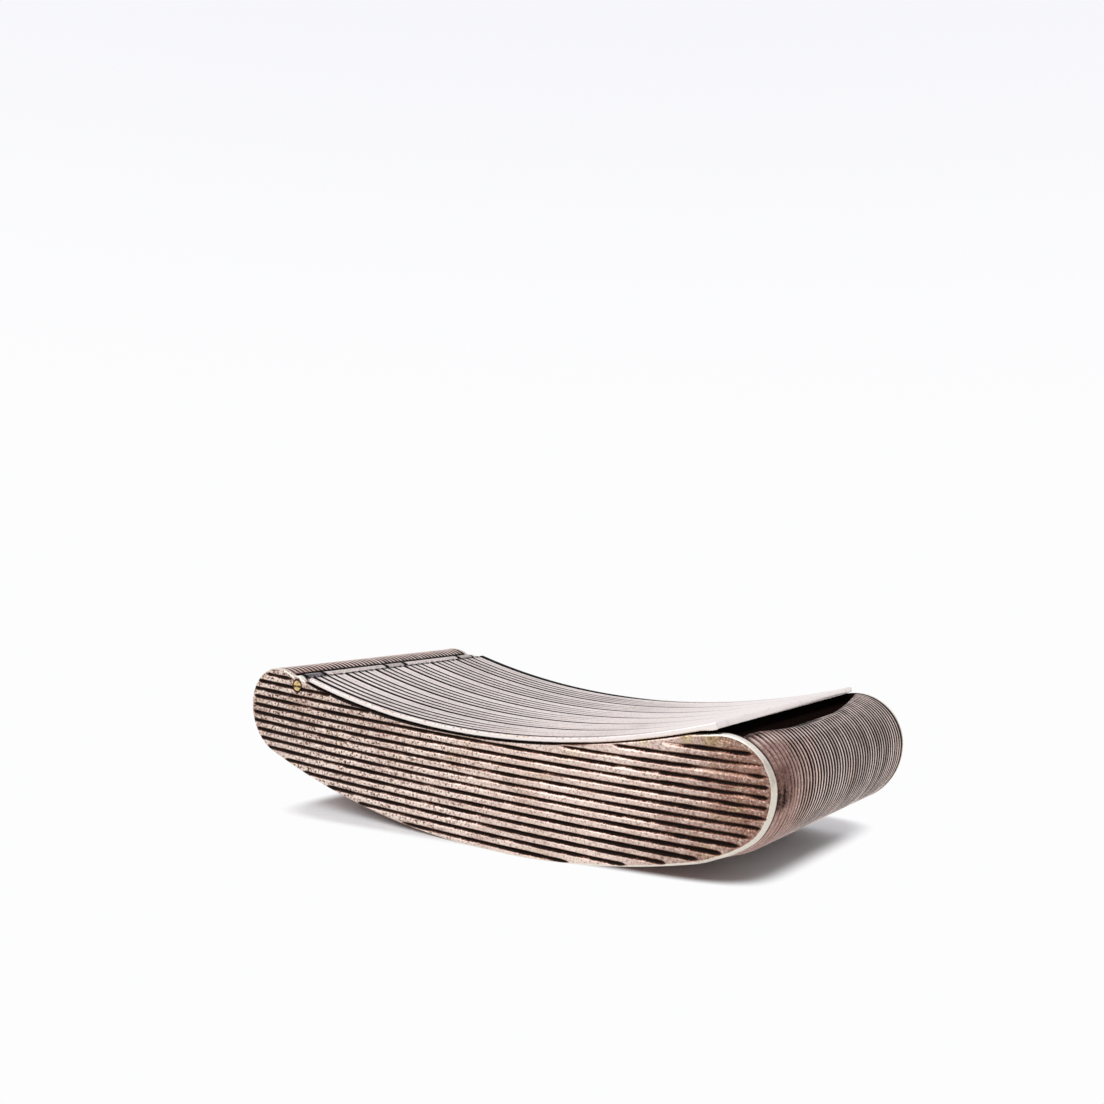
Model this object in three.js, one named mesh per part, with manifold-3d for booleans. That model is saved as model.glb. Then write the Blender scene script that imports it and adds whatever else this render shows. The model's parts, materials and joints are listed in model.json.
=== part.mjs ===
// Curved silver snuff box with a reeded skin, a knuckle hinge and a thumb notch.
// Millimetres, +Z up, +X towards the thumb end, -Y towards the front plate.
import * as THREE from 'three';
import { mergeVertices } from 'three/addons/utils/BufferGeometryUtils.js';
import Module from 'manifold-3d';

const wasm = await Module();
wasm.setup();

// Body outline, seen from the front
const boxLength = 76;
const boxWidth = 36;
const baseRadius = 104; // rocker curve of the base
const baseLowX = 1.6; // where the base is lowest
const restFlat = 8; // length worn flat by standing
const rimRadius = 108; // hollow curve that the lid lies on
const rimLowX = -1.5; // where that curve is lowest
const waistHeight = 12.65; // height of the rim there
const endHeight = 12.1; // height at which both ends stand upright

// Sheet and edges
const plateThick = 1;
const bandThick = 0.9;
const lidThick = 0.55;
const edgeRound = 0.35; // filed edge of the side plates
const lidEdge = 0.15; // broken edge of the lid
const lidGap = 0.15; // between the rim and the shut lid
const solderGap = 0.05; // between pieces that are soldered

// Reeds of the side plates
const sideReedPitch = 1.05;
const sideGrooveWidth = 0.5;
const sideGrooveDepth = 0.28;
const sideFirstGroove = 1.8; // height of the lowest groove
const sideReedBow = 0.68; // rise of each reed at the ends
const sideBorder = 0.85; // plain edge round the reeds

// Reeds of the wrap band
const bandReeds = 46;
const bandReedDepth = 0.2;

// Reeds of the lid: in each group a deep line, a broad land, then fine lines
const lidBorder = 0.9;
const lidGroups = 6;
const broadLand = 2.1;
const fineLines = 3;
const deepGrooveWidth = 0.5;
const deepGrooveDepth = 0.26;
const fineGrooveWidth = 0.36;
const fineGrooveDepth = 0.13;

// Hinge
const hingeInset = 8.5; // axis from the hinge end
const hingeSink = 1.13; // axis below the rim
const knuckleRadius = 1.4;
const pinRadius = 0.75;
const pinClear = 0.08;
const knuckleClear = 0.1; // between the tubes and what they lie in
const knuckleGap = 0.2; // between neighbouring tubes
const endKnuckle = 3.2;
const middleKnuckle = 3.6;
const earRadius = 1.3; // side plate round the pin
const shoulderGap = 1.15; // axis to the end of the shoulder
const lidSetback = 1.7; // axis to the end of the lid
const troughThick = 0.7;
const troughTurn = [165, 300]; // degrees round the axis
const stripTurn = [-40, 35];
const stripLength = 1.5;
const stripDepth = 1.9;

// Thumb end
const lidReach = 6.8; // thumb edge of the lid from the thumb end
const bandReach = 6.5; // top edge of the band from the thumb end
const notchReach = 3.3; // deepest point of the thumb notch from the thumb end
const notchRadius = 66;
const notchShift = -3; // its middle, towards the front plate
const bearerThick = 0.8;
const bearerLap = 1.2; // bearer past the bottom of the notch
const bearerTuck = 1; // bearer under the lid

// Flange under the lid
const bezelHeight = 1.3;
const bezelThick = 0.7;
const bezelClear = 0.3;

// Facets
const endSteps = 6;
const baseSteps = 5;
const rimSteps = 14;
const earSteps = 6;
const reedSteps = 8;
const notchSteps = 16;
const tubeSides = 20;

const cutOver = 1; // how far a cutting tool stands out of what it cuts

// Places worked out from the sizes
const halfLength = boxLength / 2;
const halfWidth = boxWidth / 2;
const innerHalf = halfWidth - plateThick;
const flatAngle = Math.asin(restFlat / 2 / baseRadius);
const base = { x: baseLowX, z: baseRadius * Math.cos(flatAngle) };
const rim = { x: rimLowX, z: waistHeight + rimRadius };
const axis = { x: hingeInset - halfLength };
axis.z = rimZ(axis.x) - hingeSink;
const thumbEnd = endArcs(halfLength);
const hingeEnd = endArcs(-halfLength);
const shoulderX = axis.x - shoulderGap;
const lidStartX = axis.x + lidSetback;
const lidEndX = halfLength - lidReach;
const bandEndX = halfLength - bandReach;
const notchX = halfLength - notchReach;
const troughRadius = knuckleRadius + knuckleClear;

// Height of the rim curve, or of a curve that lies some way above it
function rimZ(x, above = 0) {
  return rim.z - Math.sqrt((rimRadius - above) ** 2 - (x - rim.x) ** 2);
}

// The two arcs of an end, which run into the base and into the rim without a break
function endArcs(endX) {
  const inward = -Math.sign(endX);
  const toBase = Math.abs(endX - base.x);
  const toRim = Math.abs(endX - rim.x);
  const lowReach = baseRadius ** 2 - toBase ** 2 - (base.z - endHeight) ** 2;
  const topReach = toRim ** 2 + (rim.z - endHeight) ** 2 - rimRadius ** 2;
  const lowRadius = lowReach / (2 * (baseRadius - toBase));
  const topRadius = topReach / (2 * (rimRadius + toRim));
  const low = { x: endX + inward * lowRadius, z: endHeight, radius: lowRadius };
  const top = { x: endX + inward * topRadius, z: endHeight, radius: topRadius };
  low.meet = Math.atan2(low.z - base.z, low.x - base.x);
  top.meet = Math.atan2(rim.z - top.z, rim.x - top.x);
  return { low, top };
}

// Angle at which a circle reaches a given x, on its upper half
function angleAt(circle, radius, x) {
  return Math.acos((x - circle.x) / radius);
}

// Angle on one circle at which it meets another, on the left (1) or right (-1) of the line to the other
function meetAngle(circle, radius, other, otherRadius, side) {
  const toOther = { x: other.x - circle.x, z: other.z - circle.z };
  const reach = Math.hypot(toOther.x, toOther.z);
  const spread = Math.acos((radius ** 2 + reach ** 2 - otherRadius ** 2) / (2 * radius * reach));
  return Math.atan2(toOther.z, toOther.x) + side * spread;
}

function degrees(angle) {
  return THREE.MathUtils.degToRad(angle);
}

// Points along an arc, each with the direction that faces out of the metal
function arc(centre, radius, from, to, steps, facing = 1) {
  return Array.from({ length: steps + 1 }, (_, i) => {
    const angle = from + ((to - from) * i) / steps;
    const x = Math.cos(angle);
    const z = Math.sin(angle);
    return { x: centre.x + radius * x, z: centre.z + radius * z, nx: facing * x, nz: facing * z };
  });
}

// Joins arcs into one line, without doubled points where they meet
function joinArcs(...arcs) {
  const same = (a, b) => Math.hypot(a.x - b.x, a.z - b.z) < 1e-6;
  return arcs.flat().filter((point, i, all) => i === 0 || !same(point, all[i - 1]));
}

// Skin of the box, from the top of the thumb end down round the base and up to the top of the hinge end
function skinLine(thumbAngle, hingeAngle) {
  const down = -Math.PI / 2;
  const { low: thumbLow, top: thumbTop } = thumbEnd;
  const { low: hingeLow, top: hingeTop } = hingeEnd;
  return joinArcs(
    arc(thumbTop, thumbTop.radius, thumbAngle, 0, endSteps),
    arc(thumbLow, thumbLow.radius, 0, thumbLow.meet, endSteps),
    arc(base, baseRadius, thumbLow.meet, down + flatAngle, baseSteps),
    arc(base, baseRadius, down - flatAngle, hingeLow.meet, baseSteps),
    arc(hingeLow, hingeLow.radius, hingeLow.meet, -Math.PI, endSteps),
    arc(hingeTop, hingeTop.radius, Math.PI, hingeAngle, endSteps),
  );
}

// Stretch of the rim curve, or of a curve above it, facing up
function rimLine(fromX, toX, above = 0) {
  const radius = rimRadius - above;
  const turn = (x) => Math.asin((x - rim.x) / radius) - Math.PI / 2;
  return arc(rim, radius, turn(fromX), turn(toX), rimSteps, -1);
}

// Moves every vertex of a geometry to a new place
function reshape(geometry, place) {
  const at = geometry.attributes.position;
  for (let i = 0; i < at.count; i += 1) {
    at.setXYZ(i, ...place(at.getX(i), at.getY(i), at.getZ(i)));
  }
  return geometry;
}

function outlineShape(points) {
  return new THREE.Shape(points.map(({ x, z }) => new THREE.Vector2(x, z)));
}

// Extrudes an outline in XZ across the box
function across(shape, fromY, toY, rounding = {}) {
  const options = { depth: toY - fromY, bevelEnabled: false, ...rounding };
  return reshape(new THREE.ExtrudeGeometry(shape, options), (x, z, depth) => [x, toY - depth, z]);
}

// Bends a straight strip along a line; its section is given as [y, distance out of the line]
function along(section, line, wear = (out) => out) {
  const steps = line.length - 1;
  const shape = new THREE.Shape(section.map(([y, out]) => new THREE.Vector2(y, out)));
  const strip = new THREE.ExtrudeGeometry(shape, { depth: steps, steps, bevelEnabled: false });
  return reshape(strip, (y, out, depth) => {
    const point = line[Math.round(depth)];
    const reach = wear(out, point);
    return [point.x + point.nx * reach, y, point.z + point.nz * reach];
  });
}

// Closed solid for cutting and joining
function solid(geometry) {
  geometry.deleteAttribute('normal');
  geometry.deleteAttribute('uv');
  const merged = mergeVertices(geometry);
  const vertProperties = merged.attributes.position.array;
  const triVerts = merged.index.array;
  return new wasm.Manifold(new wasm.Mesh({ numProp: 3, vertProperties, triVerts }));
}

function fromSolid(manifold) {
  const { vertProperties, triVerts } = manifold.getMesh();
  const geometry = new THREE.BufferGeometry();
  geometry.setAttribute('position', new THREE.BufferAttribute(vertProperties, 3));
  geometry.setIndex(new THREE.BufferAttribute(triVerts, 1));
  geometry.computeVertexNormals();
  return geometry;
}

// Box between two corners
function block(low, high) {
  const size = high.map((value, i) => value - low[i]);
  const centre = high.map((value, i) => (value + low[i]) / 2);
  return new THREE.BoxGeometry(...size).translate(...centre);
}

const silver = { color: 0xb5a79c, roughness: 0.4, metalness: 1 };
const paleSilver = { color: 0xd6cfc9, roughness: 0.32, metalness: 1 };
const giltSilver = { color: 0xc8a565, roughness: 0.35, metalness: 1 };
const brass = { color: 0xb98a42, roughness: 0.35, metalness: 1 };

const box = new THREE.Group();
const lid = new THREE.Group(); // turns about the hinge pin
lid.position.set(axis.x, 0, axis.z);
box.add(lid);

function addPiece(name, geometry, look) {
  const mesh = new THREE.Mesh(geometry, new THREE.MeshStandardMaterial(look));
  mesh.name = name;
  box.add(mesh);
}

function addLidPiece(name, geometry, look) {
  const mesh = new THREE.Mesh(geometry, new THREE.MeshStandardMaterial(look));
  mesh.name = name;
  mesh.position.set(-axis.x, 0, -axis.z);
  lid.add(mesh);
}

// Side plates: the whole outline, with an ear round the pin between the shoulder and the rim
function plateOutline() {
  const { top } = hingeEnd;
  const skinEnd = meetAngle(top, top.radius, axis, earRadius, 1);
  const earStart = meetAngle(axis, earRadius, top, top.radius, -1) + 2 * Math.PI;
  const earEnd = meetAngle(axis, earRadius, rim, rimRadius, -1);
  const earX = axis.x + earRadius * Math.cos(earEnd);
  const thumbX = thumbEnd.top.x + thumbEnd.top.radius * Math.cos(thumbEnd.top.meet);
  return joinArcs(
    skinLine(thumbEnd.top.meet, skinEnd),
    arc(axis, earRadius, earStart, earEnd, earSteps),
    rimLine(earX, thumbX).slice(0, -1),
  );
}

// Field of the reeds: the smooth outline less a plain border
function reedField() {
  const hingeX = hingeEnd.top.x + hingeEnd.top.radius * Math.cos(hingeEnd.top.meet);
  const thumbX = thumbEnd.top.x + thumbEnd.top.radius * Math.cos(thumbEnd.top.meet);
  const smooth = joinArcs(
    skinLine(thumbEnd.top.meet, hingeEnd.top.meet),
    rimLine(hingeX, thumbX).slice(0, -1),
  );
  return smooth.map(({ x, z, nx, nz }) => ({ x: x - nx * sideBorder, z: z - nz * sideBorder }));
}

// One groove of a side plate, a vee that bows up a little at both ends
function sideGroove(height, side) {
  const mouth = 1 + cutOver / sideGrooveDepth;
  const half = (sideGrooveWidth / 2) * mouth;
  const outY = side * (halfWidth + cutOver);
  const vee = new THREE.Shape([
    new THREE.Vector2(outY, -half),
    new THREE.Vector2(outY, half),
    new THREE.Vector2(side * (halfWidth - sideGrooveDepth), 0),
  ]);
  const bar = new THREE.ExtrudeGeometry(vee, { depth: boxLength, steps: reedSteps, bevelEnabled: false });
  return solid(reshape(bar, (y, z, depth) => {
    const x = depth - halfLength;
    return [x, y, height + z + sideReedBow * (x / halfLength) ** 2];
  }));
}

function sidePlate(side) {
  const rounding = {
    bevelEnabled: true,
    bevelThickness: edgeRound,
    bevelSize: edgeRound,
    bevelOffset: -edgeRound,
    bevelSegments: 2,
  };
  const toY = side < 0 ? -innerHalf : halfWidth - edgeRound;
  const blank = solid(across(outlineShape(plateOutline()), toY - plateThick + edgeRound, toY, rounding));
  const faces = [side * innerHalf, side * (halfWidth + cutOver)].sort((a, b) => a - b);
  const trim = solid(block(
    [-halfLength - cutOver, faces[0], -cutOver],
    [halfLength + cutOver, faces[1], boxLength],
  ));
  const hole = outlineShape(arc(axis, pinRadius + pinClear, 0, 2 * Math.PI, tubeSides).slice(1));
  let plate = blank.intersect(trim).subtract(solid(across(hole, -boxWidth, boxWidth)));
  const field = solid(across(outlineShape(reedField()), ...faces));
  const topHeight = endHeight + thumbEnd.top.radius;
  for (let height = sideFirstGroove; height < topHeight; height += sideReedPitch) {
    plate = plate.subtract(sideGroove(height, side).intersect(field));
  }
  return fromSolid(plate);
}
addPiece('front_side_plate', sidePlate(-1), silver);
addPiece('rear_side_plate', sidePlate(1), silver);

// Wrap band: base and both ends in one reeded strip, with the thumb notch cut into its end
function wrapBand() {
  const thumbAngle = angleAt(thumbEnd.top, thumbEnd.top.radius, bandEndX);
  const shoulderAngle = angleAt(hingeEnd.top, hingeEnd.top.radius, shoulderX);
  const halfReed = innerHalf / bandReeds;
  const reeds = Array.from({ length: 2 * bandReeds + 1 }, (_, i) => [
    innerHalf - i * halfReed,
    i % 2 ? 0 : -bandReedDepth,
  ]);
  const section = [[-innerHalf, -bandThick], [innerHalf, -bandThick], ...reeds];
  // The reeds are worn away on the flat that the box stands on
  const wear = (out, { z }) => (z < 1e-6 && out > -bandThick / 2 ? 0 : out);
  const strip = solid(along(section, skinLine(thumbAngle, shoulderAngle), wear));
  const turn = (y) => Math.asin((y - notchShift) / notchRadius);
  const centre = { x: notchX - notchRadius, z: notchShift };
  const edge = arc(centre, notchRadius, turn(-innerHalf), turn(innerHalf), notchSteps);
  const back = bandEndX - bandReach;
  const plan = outlineShape([{ x: back, z: -innerHalf }, ...edge, { x: back, z: innerHalf }]);
  const tool = new THREE.ExtrudeGeometry(plan, { depth: boxLength, bevelEnabled: false });
  return fromSolid(strip.subtract(solid(tool.translate(0, 0, endHeight))));
}
addPiece('wrap_band', wrapBand(), silver);

// Bearer inside the thumb end, which closes the box behind the notch
function thumbBearer() {
  const { top } = thumbEnd;
  const outer = top.radius - bandThick - solderGap;
  const from = angleAt(top, outer, notchX + bearerLap);
  const to = angleAt(top, outer, bandEndX - bearerTuck);
  const outline = [
    ...arc(top, outer, from, to, endSteps),
    ...arc(top, outer - bearerThick, to, from, endSteps),
  ];
  return across(outlineShape(outline), -innerHalf + solderGap, innerHalf - solderGap);
}
addPiece('thumb_bearer', thumbBearer(), giltSilver);

// Trough under the shoulder, in which the tubes of the body lie, filed to fit under the band
function hingeBearer() {
  const { top } = hingeEnd;
  const [from, to] = troughTurn.map(degrees);
  const outline = [
    ...arc(axis, troughRadius, from, to, tubeSides),
    ...arc(axis, troughRadius + troughThick, to, from, tubeSides),
  ];
  const trough = solid(across(outlineShape(outline), -innerHalf + solderGap, innerHalf - solderGap));
  const inside = -bandThick - solderGap;
  const bandRoom = [[-halfWidth, inside], [halfWidth, inside], [halfWidth, cutOver], [-halfWidth, cutOver]];
  const roomEnd = angleAt(top, top.radius, shoulderX + solderGap);
  return fromSolid(trough.subtract(solid(along(bandRoom, skinLine(thumbEnd.top.meet, roomEnd)))));
}
addPiece('hinge_bearer', hingeBearer(), giltSilver);

// Hinge tubes, shared out from the front plate to the rear plate
function hingeTube(fromY, toY) {
  const ring = (radius) => arc(axis, radius, 0, 2 * Math.PI, tubeSides).slice(1);
  const shape = outlineShape(ring(knuckleRadius));
  shape.holes.push(outlineShape(ring(pinRadius + pinClear)));
  return across(shape, fromY, toY);
}
const endEdge = innerHalf - endKnuckle;
const middleEdge = middleKnuckle / 2;
addPiece('body_knuckle_front', hingeTube(-innerHalf + solderGap, -endEdge), silver);
addPiece('body_knuckle_middle', hingeTube(-middleEdge, middleEdge), silver);
addPiece('body_knuckle_rear', hingeTube(endEdge, innerHalf - solderGap), silver);
addLidPiece('lid_knuckle_front', hingeTube(-endEdge + knuckleGap, -middleEdge - knuckleGap), paleSilver);
addLidPiece('lid_knuckle_rear', hingeTube(middleEdge + knuckleGap, endEdge - knuckleGap), paleSilver);

// Pin through both plates and all tubes, flush with the plates
const pinOutline = arc(axis, pinRadius, 0, 2 * Math.PI, tubeSides).slice(1);
addPiece('hinge_pin', across(outlineShape(pinOutline), -halfWidth, halfWidth), brass);

// Lid: a reeded sheet bent to the rim curve
function lidPlate() {
  const deepHalf = halfWidth - lidBorder;
  const group = (2 * deepHalf) / lidGroups;
  const finePitch = (group - broadLand) / fineLines;
  const grooves = [];
  for (let i = 0; i <= lidGroups; i += 1) {
    const deepY = deepHalf - i * group;
    grooves.push({ y: deepY, width: deepGrooveWidth, depth: deepGrooveDepth });
    for (let j = 0; j < fineLines && i < lidGroups; j += 1) {
      const y = deepY - broadLand - j * finePitch;
      grooves.push({ y, width: fineGrooveWidth, depth: fineGrooveDepth });
    }
  }
  const cuts = grooves.flatMap(({ y, width, depth }) => [
    [y + width / 2, lidThick],
    [y, lidThick - depth],
    [y - width / 2, lidThick],
  ]);
  const section = [
    [-halfWidth, lidThick - lidEdge],
    [-halfWidth, 0],
    [halfWidth, 0],
    [halfWidth, lidThick - lidEdge],
    [halfWidth - lidEdge, lidThick],
    ...cuts,
    [-halfWidth + lidEdge, lidThick],
  ];
  return along(section, rimLine(lidStartX, lidEndX, lidGap));
}
addLidPiece('lid_plate', lidPlate(), paleSilver);

// Strip under the lid that carries its tubes, hollowed to run round the barrel
const stripEndX = axis.x + troughRadius + stripLength;
function lidHingeStrip() {
  const [from, to] = stripTurn.map(degrees);
  const top = rimZ(stripEndX, lidGap) - solderGap;
  const outline = [
    ...arc(axis, troughRadius, from, to, tubeSides),
    { x: stripEndX, z: top },
    { x: stripEndX, z: top - stripDepth },
  ];
  return across(outlineShape(outline), -innerHalf + bezelClear, innerHalf - bezelClear);
}
addLidPiece('lid_hinge_strip', lidHingeStrip(), giltSilver);

// Flange strips under the lid: one inside each plate and one between them at the thumb end
const bezelEndX = bandEndX - bearerTuck - bezelClear;
const bezelOuter = innerHalf - bezelClear;
function sideBezel(side) {
  const edges = [side * bezelOuter, side * (bezelOuter - bezelThick)];
  const section = [
    [edges[0], -solderGap],
    [edges[0], -solderGap - bezelHeight],
    [edges[1], -solderGap - bezelHeight],
    [edges[1], -solderGap],
  ];
  return along(section, rimLine(stripEndX + bezelThick, bezelEndX - bezelThick, lidGap));
}
function thumbBezel() {
  const outline = [bezelEndX - bezelThick, bezelEndX].map((x) => ({ x, z: rimZ(x, lidGap) - solderGap }));
  const lower = outline.map(({ x, z }) => ({ x, z: z - bezelHeight })).reverse();
  const half = bezelOuter - bezelThick - solderGap;
  return across(outlineShape([...outline, ...lower]), -half, half);
}
addLidPiece('lid_bezel_front', sideBezel(-1), giltSilver);
addLidPiece('lid_bezel_rear', sideBezel(1), giltSilver);
addLidPiece('lid_bezel_thumb', thumbBezel(), giltSilver);

export default box;
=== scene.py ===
import json
import math
import bmesh
import bpy
from mathutils import Matrix, Vector, noise


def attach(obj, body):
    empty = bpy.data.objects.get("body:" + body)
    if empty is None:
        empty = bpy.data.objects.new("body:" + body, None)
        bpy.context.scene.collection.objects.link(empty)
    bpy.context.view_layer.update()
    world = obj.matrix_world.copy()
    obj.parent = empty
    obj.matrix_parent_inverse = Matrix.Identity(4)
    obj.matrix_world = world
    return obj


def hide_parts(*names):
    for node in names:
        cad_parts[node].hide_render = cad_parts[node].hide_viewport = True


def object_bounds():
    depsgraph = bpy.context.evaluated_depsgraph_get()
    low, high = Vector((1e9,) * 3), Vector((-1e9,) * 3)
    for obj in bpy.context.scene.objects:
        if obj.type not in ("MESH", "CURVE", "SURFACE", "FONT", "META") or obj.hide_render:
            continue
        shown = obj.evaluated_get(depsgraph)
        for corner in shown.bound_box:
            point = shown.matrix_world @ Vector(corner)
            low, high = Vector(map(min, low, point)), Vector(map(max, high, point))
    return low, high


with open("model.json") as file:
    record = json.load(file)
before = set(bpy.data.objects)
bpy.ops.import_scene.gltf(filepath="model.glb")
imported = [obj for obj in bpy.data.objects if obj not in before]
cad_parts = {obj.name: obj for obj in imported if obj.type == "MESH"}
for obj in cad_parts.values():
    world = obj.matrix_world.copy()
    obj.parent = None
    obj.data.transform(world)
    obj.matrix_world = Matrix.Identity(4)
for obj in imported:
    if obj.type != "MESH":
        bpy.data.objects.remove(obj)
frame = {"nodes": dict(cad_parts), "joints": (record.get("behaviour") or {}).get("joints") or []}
cadLow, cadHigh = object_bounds()
print("frame loaded with", len(frame["nodes"]), "nodes")

# Shapes are worked out in millimetres and scaled to metres when a mesh is made
metre = 0.001
halfLength = cadHigh.x / metre
halfWidth = cadHigh.y / metre
hinge = Vector(frame["joints"][0]["pos_m"]) / metre
hingeAxis = (hinge.x, hinge.z)

# Outline of the box seen from the front: rocker base, round ends, hollow rim
bodyLine = {
    "baseRadius": 104.0,
    "baseLowX": 1.6,
    "restFlat": 8.0,
    "rimRadius": 108.0,
    "rimLowX": -1.5,
    "waistHeight": 12.65,
    "endHeight": 12.1,
    "plateThick": 1.0,
    "solderGap": 0.05,  # between joined pieces
    "endSteps": 18,
    "baseSteps": 26,
    "rimSteps": 90,
}
innerHalf = halfWidth - bodyLine["plateThick"]
fullTurn = 2 * math.pi


def linear(red, green, blue):  # screen colour, 0 to 255, as light
    def channel(value):
        value /= 255
        return value / 12.92 if value <= 0.04045 else ((value + 0.055) / 1.055) ** 2.4
    return (channel(red), channel(green), channel(blue), 1.0)


def smoothStep(low, high, value):
    t = max(0.0, min(1.0, (value - low) / (high - low)))
    return t * t * (3 - 2 * t)


def waver(x, y=0.0, z=0.0):  # smooth unevenness from -1 to 1
    return noise.noise(Vector((x, y, z)))


# Lines: lists of (x, z, outward x, outward z)
def arcPoint(centre, radius, turn, facing=1):
    across, up = math.cos(turn), math.sin(turn)
    return (centre[0] + radius * across, centre[1] + radius * up, facing * across, facing * up)


def arc(centre, radius, start, stop, steps, facing=1):
    return [arcPoint(centre, radius, start + (stop - start) * i / steps, facing) for i in range(steps + 1)]


def joinLines(*lines):
    joined = []
    for point in (p for line in lines for p in line):
        if not joined or math.hypot(point[0] - joined[-1][0], point[1] - joined[-1][1]) > 1e-5:
            joined.append(point)
    return joined


def flat(line):
    return [(p[0], p[1]) for p in line]


def counterClockwise(points):
    turning = sum(a[0] * b[1] - b[0] * a[1] for a, b in zip(points, points[1:] + points[:1]))
    return points if turning > 0 else points[::-1]


def meetAngle(centre, radius, other, otherRadius, side):  # where one circle meets another
    toOther = (other[0] - centre[0], other[1] - centre[1])
    reach = math.hypot(*toOther)
    spread = math.acos((radius ** 2 + reach ** 2 - otherRadius ** 2) / (2 * radius * reach))
    return math.atan2(toOther[1], toOther[0]) + side * spread


flatTurn = math.asin(bodyLine["restFlat"] / 2 / bodyLine["baseRadius"])
baseCentre = (bodyLine["baseLowX"], bodyLine["baseRadius"] * math.cos(flatTurn))
rimCentre = (bodyLine["rimLowX"], bodyLine["waistHeight"] + bodyLine["rimRadius"])


def endArcs(endX):  # the two arcs of an end, tangent to the base and to the rim
    inward = -math.copysign(1, endX)
    height = bodyLine["endHeight"]
    toBase, toRim = abs(endX - baseCentre[0]), abs(endX - rimCentre[0])
    baseReach = bodyLine["baseRadius"] ** 2 - toBase ** 2 - (baseCentre[1] - height) ** 2
    rimReach = toRim ** 2 + (rimCentre[1] - height) ** 2 - bodyLine["rimRadius"] ** 2
    lowRadius = baseReach / (2 * (bodyLine["baseRadius"] - toBase))
    topRadius = rimReach / (2 * (bodyLine["rimRadius"] + toRim))
    low, top = (endX + inward * lowRadius, height), (endX + inward * topRadius, height)
    return {
        "low": low,
        "top": top,
        "lowRadius": lowRadius,
        "topRadius": topRadius,
        "lowMeet": math.atan2(low[1] - baseCentre[1], low[0] - baseCentre[0]),
        "topMeet": math.atan2(rimCentre[1] - top[1], rimCentre[0] - top[0]),
    }


thumbEnd, hingeEnd = endArcs(halfLength), endArcs(-halfLength)


def turnAt(end, x):  # where an end's upper arc reaches x
    return math.acos((x - end["top"][0]) / end["topRadius"])


def skinLine(thumbTurn, hingeTurn):
    ends, base = bodyLine["endSteps"], bodyLine["baseSteps"]
    down = -math.pi / 2
    return joinLines(
        arc(thumbEnd["top"], thumbEnd["topRadius"], thumbTurn, 0, ends),
        arc(thumbEnd["low"], thumbEnd["lowRadius"], 0, thumbEnd["lowMeet"], ends),
        arc(baseCentre, bodyLine["baseRadius"], thumbEnd["lowMeet"], down + flatTurn, base),
        arc(baseCentre, bodyLine["baseRadius"], down - flatTurn, hingeEnd["lowMeet"], base),
        arc(hingeEnd["low"], hingeEnd["lowRadius"], hingeEnd["lowMeet"], -math.pi, ends),
        arc(hingeEnd["top"], hingeEnd["topRadius"], math.pi, hingeTurn, ends),
    )


def rimLine(fromX, toX, above=0.0, steps=bodyLine["rimSteps"]):
    radius = bodyLine["rimRadius"] - above
    turns = [math.asin((x - rimCentre[0]) / radius) - math.pi / 2 for x in (fromX, toX)]
    return arc(rimCentre, radius, *turns, steps, facing=-1)


# Mesh making
def sweep(stations, section, place, loop=False):  # a section carried along stations
    count, last = len(section), len(stations) - 1
    verts = [place(s, p) for s in stations for p in section]
    faces = []
    for i in range(last + 1 if loop else last):
        for j in range(count):
            k, n = (j + 1) % count, (i + 1) % (last + 1)
            faces.append((i * count + j, i * count + k, n * count + k, n * count + j))
    if not loop:
        faces.append(tuple(range(count)))
        faces.append(tuple(range(last * count, last * count + count)))
    return verts, faces


def addObject(name, data):
    added = bpy.data.objects.new(name, data)
    bpy.context.scene.collection.objects.link(added)
    return added


def meshObject(name, verts, faces):
    mesh = bpy.data.meshes.new(name)
    mesh.from_pydata([[c * metre for c in v] for v in verts], [], faces)
    work = bmesh.new()
    work.from_mesh(mesh)
    bmesh.ops.recalc_face_normals(work, faces=work.faces)
    work.to_mesh(mesh)
    work.free()
    return addObject(name, mesh)


def markPoints(piece, names, rows):  # values for the finish, a row of them for each point
    for name, values in zip(names, zip(*rows)):
        layer = piece.data.attributes.new(name, "FLOAT", "POINT")
        layer.data.foreach_set("value", values)


def cutAway(piece, tool):
    cut = piece.modifiers.new("cut", "BOOLEAN")
    cut.operation = "DIFFERENCE"
    cut.solver = "MANIFOLD"
    cut.object = tool
    shaped = piece.evaluated_get(bpy.context.evaluated_depsgraph_get())
    piece.data = bpy.data.meshes.new_from_object(shaped)
    piece.modifiers.clear()
    bpy.data.objects.remove(tool)


def finishPiece(piece, body, node, finishes, faceFinish=None, sharpAngle=38):
    piece.data.materials.clear()
    for finish in finishes:
        piece.data.materials.append(finish)
    if faceFinish:
        piece.data.polygons.foreach_set("material_index", faceFinish)
    piece.data.shade_smooth()
    piece.data.set_sharp_from_angle(angle=math.radians(sharpAngle))
    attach(piece, body)
    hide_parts(node)
    return piece


# Shader building blocks
def feed(tree, socket, value):
    if isinstance(value, bpy.types.NodeSocket):
        tree.links.new(value, socket)
    else:
        socket.default_value = value


def mathNode(tree, kind, operation, a, b):
    node = tree.nodes.new(kind)
    node.operation = operation
    feed(tree, node.inputs[0], a)
    feed(tree, node.inputs[1], b)
    return node.outputs


def times(tree, a, b):
    return mathNode(tree, "ShaderNodeMath", "MULTIPLY", a, b)[0]


def plus(tree, a, b):
    return mathNode(tree, "ShaderNodeMath", "ADD", a, b)[0]


def minus(tree, a, b):
    return mathNode(tree, "ShaderNodeMath", "SUBTRACT", a, b)[0]


def most(tree, a, b):
    return mathNode(tree, "ShaderNodeMath", "MAXIMUM", a, b)[0]


def vectorSums(tree, operation, a, b):
    outputs = mathNode(tree, "ShaderNodeVectorMath", operation, a, b)
    return outputs["Value" if operation in ("DISTANCE", "DOT_PRODUCT") else "Vector"]


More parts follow.
